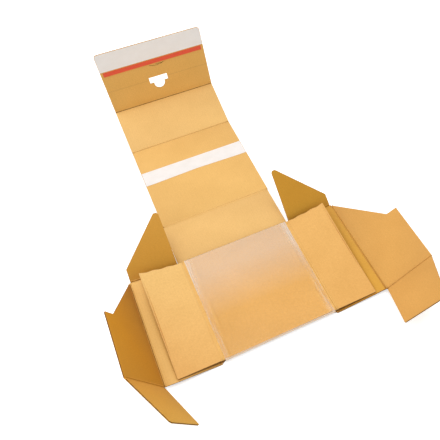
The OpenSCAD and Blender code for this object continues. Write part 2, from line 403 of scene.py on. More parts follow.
def slab(bm, loops, low, high, rim_layer, rim_width=RIM_W):
    """A flat slab between two heights, with a rim of faces that carries the wear value."""
    points = [point for loop in loops for point in loop]
    wears = [1.0] * len(loops[0]) + [HOLE_WEAR] * (len(points) - len(loops[0]))
    triangles = tessellate_polygon([[Vector((x, y, 0)) for x, y in loop] for loop in loops])
    faces_by_side = []
    rings = []
    for z in (low, high):
        verts = [bm.verts.new((x, y, z)) for x, y in points]
        for vert, wear in zip(verts, wears):
            vert[rim_layer] = wear
        faces = []
        for triangle in triangles:
            corners = [verts[i] for i in triangle]
            a, b, c = (corner.co for corner in corners)
            up = (b - a).cross(c - a).z > 0
            if up != (z == high):
                corners.reverse()
            faces.append(bm.faces.new(corners))
        faces_by_side.append(faces)
        rings.append(verts)
    first = 0
    for index, loop in enumerate(loops):
        count = len(loop)
        outward = (signed_area(loop) > 0) == (index == 0)
        for i in range(count):
            j = (i + 1) % count
            quad = [rings[0][first + i], rings[0][first + j],
                    rings[1][first + j], rings[1][first + i]]
            if not outward:
                quad.reverse()
            bm.faces.new(quad)
        first += count
    # The inset goes inwards only on faces that have their normals
    bm.normal_update()
    for faces in faces_by_side:
        before = set(bm.verts)
        bmesh.ops.inset_region(
            bm, faces=faces, thickness=rim_width, use_even_offset=True, use_boundary=True
        )
        for vert in bm.verts:
            if vert not in before:
                vert[rim_layer] = 0.0


def spans(loops, x):
    """Where the line at x runs inside the outline, as pairs of y."""
    cuts = []
    for loop in loops:
        for (x0, y0), (x1, y1) in zip(loop, loop[1:] + loop[:1]):
            if (x0 <= x) != (x1 <= x):
                cuts.append(y0 + (y1 - y0) * (x - x0) / (x1 - x0))
    cuts.sort()
    return list(zip(cuts[::2], cuts[1::2]))


def flutes(bm, loops, rim_layer):
    """The wavy paper between the liners, which shows at the cut edges across the flutes."""
    xs = [x for loop in loops for x, y in loop]
    low, high = min(xs) + FLUTE_SIDE_GAP, max(xs) - FLUTE_SIDE_GAP
    step = FLUTE_PITCH / FLUTE_SAMPLES
    count = int((high - low) / step)
    swing = HALF_T - LINER_T - MEDIUM_T / 2
    previous = None
    for i in range(count + 1):
        x = low + i * step
        phase = 2 * math.pi * x / FLUTE_PITCH
        z = swing * math.sin(phase)
        slope = swing * 2 * math.pi / FLUTE_PITCH * math.cos(phase)
        scale = MEDIUM_T / 2 / math.hypot(slope, 1)
        row = []
        for y0, y1 in spans(loops, x):
            if y1 - y0 < FLUTE_MIN_RUN:
                continue
            corners = [
                bm.verts.new((x - side * slope * scale, y, z + side * scale))
                for y in (y0 + FLUTE_END_GAP, y1 - FLUTE_END_GAP)
                for side in (1, -1)
            ]
            # Painted shade in the open flutes, through the rim value
            for vert in corners:
                vert[rim_layer] = FLUTE_SHADE
            row.append(corners)
        if previous is not None and len(previous) == len(row):
            for before, after in zip(previous, row):
                if min(before[2].co.y, after[2].co.y) - max(before[0].co.y, after[0].co.y) < 0:
                    continue
                bm.faces.new((before[0], after[0], after[2], before[2]))
                bm.faces.new((before[3], after[3], after[1], before[1]))
                bm.faces.new((before[1], after[1], after[0], before[0]))
                bm.faces.new((before[2], after[2], after[3], before[3]))
        previous = row
    bmesh.ops.holes_fill(bm, edges=bm.edges[:], sides=4)


def edge_tone(obj, where, low, high, tone):
    """Gives the board's edge between two lines across the panel a given tone in place of its tint,
    without wear.
    """
    origin, x_axis, y_axis, z_axis = where
    tint = obj.data.attributes["tint"].data
    rim = obj.data.attributes["rim"].data
    for vert in obj.data.vertices:
        along = (vert.co - origin * MM).dot(y_axis) / MM
        if rim[vert.index].value > 0.5 and low < along < high:
            tint[vert.index].color = tone
            rim[vert.index].value = 0.0


def graded(obj, where, axis, start, end, near, far):
    """Multiplies a panel's tint by painted light and shade that runs in a straight line from near
    to far.
    """
    origin, x_axis, y_axis, z_axis = where
    direction = x_axis if axis == "x" else y_axis
    tint = obj.data.attributes["tint"].data
    for vert in obj.data.vertices:
        share = ((vert.co - origin * MM).dot(direction) / MM - start) / (end - start)
        shade = [a + (b - a) * share for a, b in zip(near, far)]
        old = tint[vert.index].color
        tint[vert.index].color = (*[c * k for c, k in zip(old, shade)], old[3])


# A warped board's edges over this length are cut into more pieces
WARP_EDGE = 12
WARP_CUTS = 10


def board(name, body, where, flat, outline, side=1, holes=(), warp=None, rim_width=RIM_W,
          contact_shade=1.0):
    """One panel of corrugated board: two liners with the flutes between them.
    holes are outlines too, and warp gives the lift of a spot of the panel."""
    bm = bmesh.new()
    rim = bm.verts.layers.float.new("rim")
    outer = [mirrored(outline(CREASE_GAP), side)] + [mirrored(hole, side) for hole in holes]
    inner = [mirrored(outline(BEVEL_IN), side)] + [mirrored(hole, side) for hole in holes]
    slab(bm, outer, -HALF_T, -HALF_T + LINER_T, rim, rim_width)
    slab(bm, inner, HALF_T - LINER_T, HALF_T, rim, rim_width)
    flutes(bm, inner, rim)
    if warp:
        long_edges = [edge for edge in bm.edges if edge.calc_length() > WARP_EDGE]
        bmesh.ops.subdivide_edges(bm, edges=long_edges, cuts=WARP_CUTS, use_grid_fill=True)
        for vert in bm.verts:
            vert.co.z += warp(vert.co.x * side, vert.co.y)
    obj = new_object(name, bm, where, flat, KRAFT)
    # The piece's painted light and shade, and how far the painted shade of nearby parts darkens it
    paint_light_and_shade(obj.data, LIGHT_AND_SHADE_TINTS[name], contact_shade)
    if name in LIGHT_AND_SHADE_GRADES:
        graded(obj, where, *LIGHT_AND_SHADE_GRADES[name])
    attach(obj, body)
    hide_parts(name)
    return obj


# A crease's cross-section, from the panel's face to its middle: how far out each point lies,
# how deep it is pressed, and the wear across the whole width
CREASE_LIFT = 0.02
CREASE_REACH = (2.3, 1.5, 1.1, 0.75, 0.4, 0.2)
CREASE_DEPTH = (0.0, 0.03, 0.16, 0.36, 0.52, 0.58)
CREASE_MIDDLE = 0.6
CREASE_WEAR = (0.2, 0.4, 1.0, 1.8, 2.6, 3.0, 3.2, 3.0, 2.6, 1.8, 1.0, 0.4, 0.2)
CREASE_STEPS = 24
CREASE_PRESS = 0.35
CREASE_SWELL = 0.015
BEND_REACH = (2.3, 1.1)
BEND_STEPS = 8
BEND_SPREAD = 0.6
BEND_WEAR = 0.4


def groove(toward, normal, side, pressed):
    """The pressed side of a crease about its axis. side is 1 on the inside and -1 outside."""
    radius = HALF_T + CREASE_LIFT
    steps = list(zip(CREASE_REACH, CREASE_DEPTH))
    points = []
    for reach, depth in steps:
        points.append(toward[0] * reach + normal[0] * side * (radius - depth * pressed))
    middle = (normal[0] + normal[1]).normalized()
    points.append(middle * side * (radius - CREASE_MIDDLE * pressed))
    for reach, depth in reversed(steps):
        points.append(toward[1] * reach + normal[1] * side * (radius - depth * pressed))
    return points


def bend(toward, normal):
    """The outer side of a crease, bent smoothly about its axis."""
    radius = HALF_T + CREASE_LIFT
    points = [toward[0] * reach - normal[0] * radius for reach in BEND_REACH]
    for i in range(BEND_STEPS + 1):
        share = i / BEND_STEPS
        direction = normal[0].lerp(normal[1], share).normalized()
        spread = toward[0] * max(0, 0.5 - share) + toward[1] * max(0, share - 0.5)
        points.append(-direction * radius + spread * BEND_SPREAD)
    points += [toward[1] * reach - normal[1] * radius for reach in reversed(BEND_REACH)]
    return points


def crease_strip(name, pieces, places, along, side, low, high, flat,
                 both_grooved=False, wear=0.5, contact_shade=1.0):
    """A band of liner that bends across the crease between two panels, grooved on the inside.
    The crease runs along the second panel's x or y, and side says which way that panel lies."""
    first, second = places
    origin = second[0]
    axis, across = (1, 2) if along == "x" else (2, 1)
    toward = (-first[across] * side, second[across] * side)
    normal = (first[3], second[3])
    pressed = min(1.0, CREASE_PRESS + wear)
    inner = groove(toward, normal, 1, pressed)
    outer = groove(toward, normal, -1, pressed) if both_grooved else bend(toward, normal)
    ring = inner + list(reversed(outer))
    wears = [value * wear for value in CREASE_WEAR]
    wears += wears[::-1] if both_grooved else [BEND_WEAR] * len(outer)
    bm = bmesh.new()
    rim = bm.verts.layers.float.new("rim")
    uv = bm.loops.layers.uv.new("blank")
    rows = []
    for i in range(CREASE_STEPS + 1):
        t = low + (high - low) * i / CREASE_STEPS
        swell = 1 + CREASE_SWELL * math.sin(i * 2.3 + low)
        row = []
        for point, value in zip(ring, wears):
            vert = bm.verts.new((origin + second[axis] * t + point * swell) * MM)
            vert[rim] = value
            row.append(vert)
        rows.append((t, row))
    offsets = [point.dot(toward[1]) - point.dot(toward[0]) for point in ring]

    def uv_of(t, offset):
        u, v = (t, offset) if along == "x" else (offset, t)
        return (flat[0] + u) * MM, (flat[1] + v) * MM

    count = len(ring)
    for (t0, r0), (t1, r1) in zip(rows, rows[1:]):
        for j in range(count):
            k = (j + 1) % count
            face = bm.faces.new((r0[j], r0[k], r1[k], r1[j]))
            face.smooth = True
            spots = ((t0, offsets[j]), (t0, offsets[k]), (t1, offsets[k]), (t1, offsets[j]))
            for loop, (t, offset) in zip(face.loops, spots):
                loop[uv].uv = uv_of(t, offset)
    for row in (rows[0][1], rows[-1][1]):
        face = bm.faces.new(row)
        for loop in face.loops:
            loop[uv].uv = uv_of(low, 0)
    bmesh.ops.triangulate(bm, faces=[face for face in bm.faces if len(face.verts) > 4])
    bmesh.ops.recalc_face_normals(bm, faces=bm.faces)
    obj = linked(name, bm, KRAFT)
    # The crease takes the mean painted light and shade of its two panels
    shades = zip(LIGHT_AND_SHADE_TINTS[pieces[0]], LIGHT_AND_SHADE_TINTS[pieces[1]])
    paint_light_and_shade(obj.data, [(one + other) / 2 for one, other in shades], contact_shade)
    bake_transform(obj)


# Materials

class Nodes:
    """Short helper for building a node tree."""

    def __init__(self, name):
        self.material = bpy.data.materials.new(name)
        self.material.use_nodes = True
        self.tree = self.material.node_tree
        self.tree.nodes.clear()
        self.out = self.tree.nodes.new("ShaderNodeOutputMaterial")

    def add(self, kind, **values):
        node = self.tree.nodes.new("ShaderNode" + kind)
        for key, value in values.items():
            setattr(node, key, value)
        return node

    def link(self, output, socket):
        self.tree.links.new(output, socket)

    def feed(self, socket, value):
        """Gives a socket a colour or a number, or links another node's output to it."""
        if isinstance(value, tuple):
            socket.default_value = (*value, 1)
        elif isinstance(value, (int, float)):
            socket.default_value = value
        else:
            self.link(value, socket)

    def math(self, operation, *values, clamp=False):
        node = self.add("Math", operation=operation, use_clamp=clamp)
        for socket, value in zip(node.inputs, values):
            self.feed(socket, value)
        return node.outputs[0]

    def noise(self, vector, scale, detail=3.0, roughness=0.6):
        """Cloudy noise, stretched by a scale along x and y."""
        node = self.add("TexNoise")
        node.inputs["Scale"].default_value = 1.0
        node.inputs["Detail"].default_value = detail
        node.inputs["Roughness"].default_value = roughness
        self.link(self.scaled(vector, (*scale, 1)), node.inputs["Vector"])
        return node.outputs["Fac"]

    def ramp(self, factor, stops):
        node = self.add("ValToRGB")
        elements = node.color_ramp.elements
        while len(elements) < len(stops):
            elements.new(0.5)
        for element, (position, colour) in zip(elements, stops):
            element.position = position
            element.color = (*colour, 1)
        self.link(factor, node.inputs["Fac"])
        return node.outputs["Color"]

    def mix(self, factor, under, over, blend="MIX"):
        node = self.add("Mix", data_type="RGBA", blend_type=blend)
        self.feed(node.inputs[0], factor)
        self.feed(node.inputs[6], under)
        self.feed(node.inputs[7], over)
        return node.outputs[2]

    def scaled(self, vector, scale):
        node = self.add("Mapping")
        node.inputs["Scale"].default_value = scale
        self.link(vector, node.inputs["Vector"])
        return node.outputs["Vector"]

    def sheet(self):
        """Millimetres on the flat blank."""
        node = self.add("UVMap", uv_map="blank")
        return self.scaled(node.outputs["UV"], (1000, 1000, 1000))

    def bump(self, height, strength, distance, normal=None):
        node = self.add("Bump")
        node.inputs["Strength"].default_value = strength
        node.inputs["Distance"].default_value = distance
        self.link(height, node.inputs["Height"])
        if normal is not None:
            self.link(normal, node.inputs["Normal"])
        return node.outputs["Normal"]

    def shader(self, roughness, specular):
        node = self.add("BsdfPrincipled")
        self.feed(node.inputs["Roughness"], roughness)
        node.inputs["Specular IOR Level"].default_value = specular
        self.link(node.outputs[0], self.out.inputs["Surface"])
        return node


def kraft_material():
    """Brown board: cloudy pulp, fibres, grain and specks, faint flutes, edge wear with painted
    shade in the open flutes, each piece's painted light and shade, and painted shade in gaps.
    """
    nodes = Nodes("kraft_board")
    sheet = nodes.sheet()
    cloud = nodes.noise(sheet, (0.022, 0.03), 2.0)
    mottle = nodes.noise(sheet, (0.22, 0.28), 3.0, 0.6)
    fibre = nodes.noise(sheet, (0.35, 1.3), 5.0, 0.75)
    grain = nodes.noise(sheet, (1.6, 2.4), 4.0, 0.8)
    base = nodes.ramp(cloud, [(0.3, KRAFT_LOW), (0.7, KRAFT_HIGH)])
    tint = nodes.add("Attribute", attribute_name="tint")
    base = nodes.mix(1.0, base, tint.outputs["Color"], "MULTIPLY")
    fibres = nodes.ramp(fibre, [(0.3, (0.86, 0.84, 0.80)), (0.72, (1.06, 1.07, 1.1))])
    grains = nodes.ramp(grain, [(0.28, (0.86, 0.82, 0.75)), (0.5, (1, 1, 1)),
                            (0.75, (1.05, 1.06, 1.1))])
    mottles = nodes.ramp(mottle, [(0.3, (0.94, 0.91, 0.86)), (0.7, (1.05, 1.06, 1.08))])
    split = nodes.add("SeparateXYZ")
    nodes.link(sheet, split.inputs[0])
    on_insert = nodes.math("GREATER_THAN", split.outputs["X"], INSERT_SHEET_X - INSERT_W)
    colour = nodes.mix(1.0, base, fibres, "MULTIPLY")
    mottled = nodes.math("MULTIPLY_ADD", on_insert, 0.4, 0.15)
    colour = nodes.mix(mottled, colour, mottles, "MULTIPLY")
    colour = nodes.mix(0.8, colour, grains, "MULTIPLY")
    specks = nodes.noise(sheet, (0.9, 1.1), 1.0, 0.4)
    dark = nodes.math("GREATER_THAN", specks, 0.77)
    colour = nodes.mix(nodes.math("MULTIPLY", dark, 0.3), colour, SPECK_BROWN)
    phase = nodes.math("MULTIPLY", split.outputs["X"], 2 * math.pi / FLUTE_PITCH)
    wave = nodes.math("SINE", phase)
    ridge = nodes.math("MULTIPLY", nodes.math("ADD", wave, 1.0), 0.018)
    colour = nodes.mix(ridge, colour, FLUTE_BROWN)
    # Darker rims: edge wear on edges, holes, creases and the score line, and painted shade in the
    # open flutes
    rim = nodes.add("Attribute", attribute_name="rim")
    wear_and_shade = nodes.math("MULTIPLY", rim.outputs["Fac"], 0.16, clamp=True)
    colour = nodes.mix(wear_and_shade, colour, EDGE_BROWN)
    # Painted shade in gaps and creases: darker where nearby parts close the board in, as far as the
    # tint's alpha allows
    near = nodes.add("AmbientOcclusion", samples=6)
    near.inputs["Distance"].default_value = 0.014
    shade = nodes.ramp(near.outputs["AO"], PAINTED_SHADE_STOPS)
    colour = nodes.mix(tint.outputs["Alpha"], colour, shade, "MULTIPLY")
    shader = nodes.shader(nodes.math("MULTIPLY_ADD", grain, 0.2, 0.68), 0.22)
    nodes.link(colour, shader.inputs["Base Color"])
    shader.inputs["Sheen Weight"].default_value = 0.08
    shader.inputs["Sheen Roughness"].default_value = 0.5
    normal = nodes.bump(wave, 0.06, 0.00008)
    normal = nodes.bump(cloud, 0.1, 0.0012, normal)
    normal = nodes.bump(nodes.math("ADD", grain, fibre), 0.28, 0.00006, normal)
    nodes.link(normal, shader.inputs["Normal"])
    return nodes.material


def paper_material(name, tint, shade):
    """Smooth coated paper, cloudy between two near tones."""
    nodes = Nodes(name)
    sheet = nodes.sheet()
    cloud = nodes.noise(sheet, (0.05, 0.07), 3.0)
    grain = nodes.noise(sheet, (1.2, 1.2), 4.0, 0.7)
    colour = nodes.ramp(cloud, [(0.3, shade), (0.65, tint)])
    grains = nodes.ramp(grain, [(0.3, (0.94, 0.93, 0.92)), (0.7, (1, 1, 1))])
    colour = nodes.mix(0.5, colour, grains, "MULTIPLY")
    shader = nodes.shader(0.42, 0.4)
    nodes.link(colour, shader.inputs["Base Color"])
    normal = nodes.bump(cloud, 0.3, 0.0006)
    nodes.link(nodes.bump(grain, 0.2, 0.00003, normal), shader.inputs["Normal"])
    return nodes.material


def tape_material():
    """Red tape with fine streaks along it."""
    nodes = Nodes("tear_tape")
    sheet = nodes.sheet()
    streak = nodes.noise(sheet, (0.06, 1.6), 3.0)
    colour = nodes.ramp(streak, [(0.3, TAPE_LOW), (0.7, TAPE_HIGH)])
    shader = nodes.shader(0.3, 0.5)
    nodes.link(colour, shader.inputs["Base Color"])
    nodes.link(nodes.bump(streak, 0.3, 0.0002), shader.inputs["Normal"])
    return nodes.material


def film_material():
    """Clear film: a painted reflection towards the rear, painted glints in streaks by its side
    edges, and a clear gloss.
    """
    nodes = Nodes("clear_film")
    sheet = nodes.sheet()
    split = nodes.add("SeparateXYZ")
    nodes.link(sheet, split.inputs[0])
    cloud = nodes.noise(sheet, (0.03, 0.02), 3.0, 0.55)
    streak = nodes.noise(sheet, (0.55, 0.028), 2.0, 0.5)
    # Painted reflection: a pale layer that thickens towards the rear, cloudy in density
    rear = nodes.math("SUBTRACT", split.outputs["Y"], REFLECTION_START)
    rear = nodes.math("MULTIPLY", rear, 1 / (REFLECTION_FULL - REFLECTION_START), clamp=True)
    density = nodes.math("ADD", nodes.math("MULTIPLY", cloud, REFLECTION_SWING), REFLECTION_ALPHA)
    rear = nodes.math("MULTIPLY", rear, density)
    # Painted glints: bright streaks by the side edges, as strong as the rim value
    line = nodes.ramp(streak, [(0.44, (0.12, 0.12, 0.12)), (0.53, (0.9, 0.9, 0.9)),
                           (0.58, (0.3, 0.3, 0.3)), (0.66, (0.1, 0.1, 0.1))])
    edge = nodes.add("Attribute", attribute_name="rim")
    side = nodes.math("MULTIPLY", edge.outputs["Fac"], line)
    lip = nodes.add("Attribute", attribute_name="lip")
    glint_alpha = nodes.math("MULTIPLY", side, GLINT_ALPHA)
    alpha = nodes.math("ADD", nodes.math("ADD", rear, CLEAR_ALPHA), glint_alpha)
    lip_alpha = nodes.math("MULTIPLY", lip.outputs["Fac"], LIP_ALPHA)
    alpha = nodes.math("ADD", alpha, lip_alpha, clamp=True)
    reflection_and_lip = nodes.add("BsdfPrincipled")
    tone = nodes.mix(lip.outputs["Fac"], REFLECTION_TONE, LIP_TONE)
    nodes.link(tone, reflection_and_lip.inputs["Base Color"])
    reflection_and_lip.inputs["Roughness"].default_value = 0.5
    reflection_and_lip.inputs["Specular IOR Level"].default_value = 0.0
    nodes.link(alpha, reflection_and_lip.inputs["Alpha"])
    gloss = nodes.add("BsdfGlossy")
    gloss.inputs["Roughness"].default_value = 0.14
    normal = nodes.bump(streak, 0.3, 0.0002)
    nodes.link(normal, gloss.inputs["Normal"])
    facing = nodes.add("Fresnel")
    facing.inputs["IOR"].default_value = 1.2
    nodes.link(normal, facing.inputs["Normal"])
    mix = nodes.add("MixShader")
    nodes.link(facing.outputs[0], mix.inputs[0])
    nodes.link(reflection_and_lip.outputs[0], mix.inputs[1])
    nodes.link(gloss.outputs[0], mix.inputs[2])
    nodes.link(mix.outputs[0], nodes.out.inputs["Surface"])
    return nodes.material


# Each piece's shade against the common kraft: painted light and shade for how the light falls on
# it, and the paper's own variation
LIGHT_AND_SHADE_TINTS = {
    "base_panel": (0.92, 0.88, 0.78),
    "rear_wall": (1.02, 1.06, 1.15),
    "top_panel": (1.01, 1.02, 0.98),
    "front_wall": (1.06, 1.12, 1.22),
    "closing_flap": (1.03, 1.00, 0.80),
    "left_side_wall": (1.10, 1.16, 1.18),
    # Painted shadow of the insert flap on the right side wall, and painted shade on the rear dust
    # flaps and the left top flap
    "right_side_wall": (0.86, 0.76, 0.34),
    "left_rear_dust_flap": (0.72, 0.60, 0.22),
    "right_rear_dust_flap": (0.72, 0.61, 0.18),
    "left_top_flap": (0.74, 0.54, 0.03),
    "right_top_flap": (0.90, 0.80, 0.62),
    "left_front_dust_flap": (0.98, 0.78, 0.20),
    "right_front_dust_flap": (0.90, 0.79, 0.60),
    "insert_panel": (1.03, 1.00, 0.87),
    "insert_left_flap": (1.00, 1.02, 1.06),
    "insert_right_flap": (0.97, 0.93, 0.86),
}
# Painted light and shade that runs across a panel: the axis, its start and end, and the factors at
# both
LIGHT_AND_SHADE_GRADES = {
    "left_top_flap": ("x", 0, -TOP_W, (0.90, 0.85, 0.65), (1.17, 1.19, 1.20)),
    "left_front_dust_flap": ("y", 0, -FRONT_LONG, (0.95, 0.93, 0.80), (1.05, 1.18, 1.60)),
    "left_rear_dust_flap": ("y", 0, DUST_LONG, (0.99, 0.96, 0.88), (1.10, 1.13, 1.45)),
    "insert_left_flap": ("y", INSERT_FRONT, INSERT_REAR, (0.97, 0.92, 0.86), (1.03, 1.07, 1.10)),
    "insert_right_flap": ("y", INSERT_FRONT, INSERT_REAR, (0.96, 0.92, 0.86), (1.01, 1.01, 1.02)),
}
# Single board edges: painted shade at the right wall's front and the insert panel's front, and a
# paler far end on the closing flap; red, green, blue and how far the painted shade of nearby parts
# darkens them
WALL_FRONT_SHADE = (0.5, 0.3, 0.1, 1.0)
FLAP_END_TONE = (1.14, 1.55, 3.4, 0.25)
PANEL_FRONT_SHADE = (0.45, 0.30, 0.16, 0.0)
# Colours that all pieces of board share
KRAFT_LOW = (0.82, 0.485, 0.157)
KRAFT_HIGH = (0.86, 0.515, 0.173)
EDGE_BROWN = (0.38, 0.20, 0.07)
SPECK_BROWN = (0.36, 0.19, 0.06)
FLUTE_BROWN = (0.45, 0.25, 0.09)
# Painted shade of nearby parts, multiplied on the board by how open each spot is, from a closed gap
# to bare air
PAINTED_SHADE_STOPS = [
    (0.0, (0.10, 0.04, 0.01)), (0.36, (0.40, 0.22, 0.06)), (0.62, (0.86, 0.76, 0.55)),
    (0.85, (0.98, 0.96, 0.92)), (1.0, (1.0, 1.0, 1.0)),
]
# The tape's colours
TAPE_LOW = (0.82, 0.085, 0.040)
TAPE_HIGH = (0.92, 0.13, 0.065)
# Where along the insert's depth the film's painted reflection starts and is full, and how dense
# each part is, with the painted glints by the sides
REFLECTION_START = -22.0
REFLECTION_FULL = 44.0
REFLECTION_ALPHA = 0.205
REFLECTION_SWING = 0.05
CLEAR_ALPHA = 0.012
GLINT_ALPHA = 0.4
LIP_ALPHA = 0.85
REFLECTION_TONE = (0.96, 1.0, 0.98)
LIP_TONE = (0.84, 0.58, 0.35)
KRAFT = kraft_material()
# The end strip's paper is made lighter than the middle strip's, as painted light where the closing
# flap stands in less light
PEEL = paper_material("peel_paper", (0.89, 0.85, 0.83), (0.84, 0.80, 0.77))
END_PEEL = paper_material("end_peel_paper", (0.99, 0.985, 0.98), (0.96, 0.95, 0.94))
TAPE = tape_material()
FILM = film_material()


# Outer blank

def outer_blank():
    board("base_panel", "base", BASE, FLAT["base"], base_outline)
    for sign in SIDES:
        side = SIDE_NAME[sign]
        wall = board(side + "_side_wall", side + "_wall", WALL[sign], FLAT["wall", sign],
                     wall_outline, sign)
        if sign > 0:
            # Painted shade on the right wall's front edge, below the insert flap
            edge_tone(wall, WALL[sign], FRONT_Y - EDGE_REACH, FRONT_Y + EDGE_REACH, WALL_FRONT_SHADE)
        board(side + "_rear_dust_flap", side + "_rear_dust", DUST[sign], FLAT["dust", sign],
              dust_outline, sign)
        board(side + "_top_flap", side + "_top", TOP[sign], FLAT["top", sign], top_outline, sign)
        board(side + "_front_dust_flap", side + "_front_dust", FRONT[sign], FLAT["front", sign],
              front_outline, sign)


# How much wider the rear wall is on its left, where it shows beside the dust flap
REAR_EXTRA = 1.6


def lid():
    rear = lid_outline(REAR_H, BASE_W / 2 + REAR_EXTRA, BASE_W / 2)
    board("rear_wall", "rear", LID[0], LID_FLAT[0], rear)
    board("top_panel", "lid_top", LID[1], LID_FLAT[1], lid_outline(LID_D))
    board("front_wall", "lid_front", LID[2], LID_FLAT[2], lid_outline(FRONT_H))
    flap = board("closing_flap", "closing", LID[3], LID_FLAT[3], closing_outline,
                 holes=(hole_loop(), nick_loop()), rim_width=CLOSING_RIM_W)
    edge_tone(flap, LID[3], CLOSING_LEN - END_ROUND * 0.9, CLOSING_LEN, FLAP_END_TONE)


# Lift of each insert flap's loose corner
CURL = {-1: 10.0, 1: 9.0}


def curl(height):
    """Lift of an insert flap's loose rear corner, none along its crease and front edge."""
    def lift(x, y):
        along = max(0.0, (y - INSERT_FRONT) / (INSERT_REAR - INSERT_FRONT))
        return height * max(0.0, x / INSERT_FLAP) ** 1.4 * along ** 1.6
    return lift


def insert_board():
    panel = board("insert_panel", "base", INSERT, FLAT["insert"], insert_outline, contact_shade=0.0)
    # Painted shade on the insert panel's front cut edge
    edge_tone(panel, INSERT, INSERT_FRONT - EDGE_REACH, INSERT_FRONT + EDGE_REACH,
              PANEL_FRONT_SHADE)
    for sign in SIDES:
        side = SIDE_NAME[sign]
        board("insert_%s_flap" % side, "insert_" + side, INSERT_SIDE[sign], FLAT["insert", sign],
              insert_flap_outline, sign, warp=curl(CURL[sign]))


# How hard the lid's four creases are pressed, from the base outwards, and the insert's two
LID_WEAR = (0.4, 0.2, 0.4, 0.8)
INSERT_WEAR = 0.12
# How far each crease ends short of its panels' corners
WALL_CREASE_END = 0.5
TOP_CREASE_END = 3.0
FRONT_CREASE_IN = 1.4
INSERT_CREASE_END = 0.7


def side_creases(sign):
    """The creases of one side's wall, flaps and insert flap."""
    side = SIDE_NAME[sign]
    wall, top = WALL[sign], TOP[sign]
    wall_name, top_name = side + "_side_wall", side + "_top_flap"
    crease_strip(side + "_wall_crease", ("base_panel", wall_name),
                 (BASE, wall), "y", sign, FRONT_Y, DUST_Y - WALL_CREASE_END, FLAT["wall", sign])
    crease_strip(side + "_top_crease", (wall_name, top_name),
                 (wall, top), "y", sign, FRONT_Y, DUST_Y - TOP_CREASE_END, FLAT["top", sign])
    low, high = sorted((sign * DUST_RELIEF, sign * (WALL_H - BOARD_T - NEST_GAP)))
    crease_strip(side + "_dust_crease", (wall_name, side + "_rear_dust_flap"),
                 (wall, DUST[sign]), "x", 1, low, high,
                 FLAT["dust", sign])
    low, high = sorted((sign * FRONT_CREASE_IN, sign * (TOP_W - FRONT_EDGE_IN)))
    crease_strip(side + "_front_crease", (top_name, side + "_front_dust_flap"),
                 (top, FRONT[sign]), "x", -1, low, high,
                 FLAT["front", sign])
    crease_strip("insert_%s_crease" % side, ("insert_panel", "insert_%s_flap" % side),
                 (INSERT, INSERT_SIDE[sign]), "y", sign,
                 INSERT_FRONT, INSERT_REAR - INSERT_CREASE_END, FLAT["insert", sign],
                 both_grooved=True, wear=INSERT_WEAR, contact_shade=0.0)


def lid_creases():
    pieces = ("base_panel", "rear_wall", "top_panel", "front_wall", "closing_flap")
    places = [BASE] + LID
    half_widths = (BASE_W / 2, BASE_W / 2, LID_HALF, LID_HALF)
    for i, name in enumerate(("rear_crease", "lid_crease", "front_crease", "closing_crease")):
        crease_strip(name, pieces[i:i + 2], places[i:i + 2], "x", 1,
                     -half_widths[i], half_widths[i], LID_FLAT[i], wear=LID_WEAR[i])


# Strips

def flat_strip(name, loop, where, flat, body, material):
    """A strip of paper or tape on the inner face of a panel."""
    bm = bmesh.new()
    rim = bm.verts.layers.float.new("rim")
    slab(bm, [loop], HALF_T, HALF_T + STRIP_T, rim, STRIP_RIM_W)
    obj = new_object(name, bm, where, flat, material)
    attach(obj, body)
    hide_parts(name)


def strips():
    """The two peel strips, the return strip narrower in the middle, and the tear tape."""
    half = LID_HALF - MID_STRIP_MARGIN
    low = LID_D - MID_STRIP_AT - MID_STRIP_W
    steps = 20
    loop = []
    for i in range(steps + 1):
        rise = MID_STRIP_RISE * max(0.0, 1 - abs(i / steps - 0.5) * 2.4)
        loop.append((-half + 2 * half * i / steps, low + rise))
    loop += [(half, low + MID_STRIP_W), (-half, low + MID_STRIP_W)]
    flat_strip("return_peel_strip", loop, LID[1], LID_FLAT[1], "lid_top", PEEL)
    loop = end_points(CLOSING_LEN - END_STRIP_W - STRIP_MARGIN, STRIP_MARGIN)
    flat_strip("end_peel_strip", loop, LID[3], LID_FLAT[3], "closing", END_PEEL)
    half = LID_HALF - TAPE_INSET
    low = CLOSING_LEN - END_STRIP_W - STRIP_MARGIN - TAPE_GAP - TAPE_W
    loop = [(-half, low), (half, low), (half, low + TAPE_W), (-half, low + TAPE_W)]
    flat_strip("tear_tape", loop, LID[3], LID_FLAT[3], "closing", TAPE)


# The score line's cross-section, and its distance from the flap's sides and from the hole
SCORE_PROFILE = ((-1.4, 0.015), (-0.6, 0.05), (0.0, 0.02), (0.6, 0.05), (1.4, 0.015))
SCORE_STEPS = 30
SCORE_MARGIN = 0.4
SCORE_HOLE_GAP = 1.2


def score_line():
    """The pressed line across the closing flap, in two runs beside the hole."""
    outer = LID_HALF - SCORE_MARGIN
    inner = SLOT_W / 2 + SCORE_HOLE_GAP
    for name, x0, x1 in (("score_left", -outer, -inner), ("score_right", inner, outer)):
        bm = bmesh.new()
        rim = bm.verts.layers.float.new("rim")
        rows = []
        for i in range(SCORE_STEPS + 1):
            x = x0 + (x1 - x0) * i / SCORE_STEPS
            row = []
            for y, z in SCORE_PROFILE:
                vert = bm.verts.new((x, SCORE_AT + y, HALF_T + z))
                vert[rim] = 1.6 if y == 0.0 else 0.2
                row.append(vert)
            rows.append(row)
        for r0, r1 in zip(rows, rows[1:]):
            for j in range(len(SCORE_PROFILE) - 1):
                bm.faces.new((r0[j], r1[j], r1[j + 1], r0[j + 1]))
        obj = new_object(name, bm, LID[3], LID_FLAT[3], KRAFT, True)
        # The closing flap's painted light and shade
        paint_light_and_shade(obj.data, LIGHT_AND_SHADE_TINTS["closing_flap"])
        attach(obj, "closing")


# Film

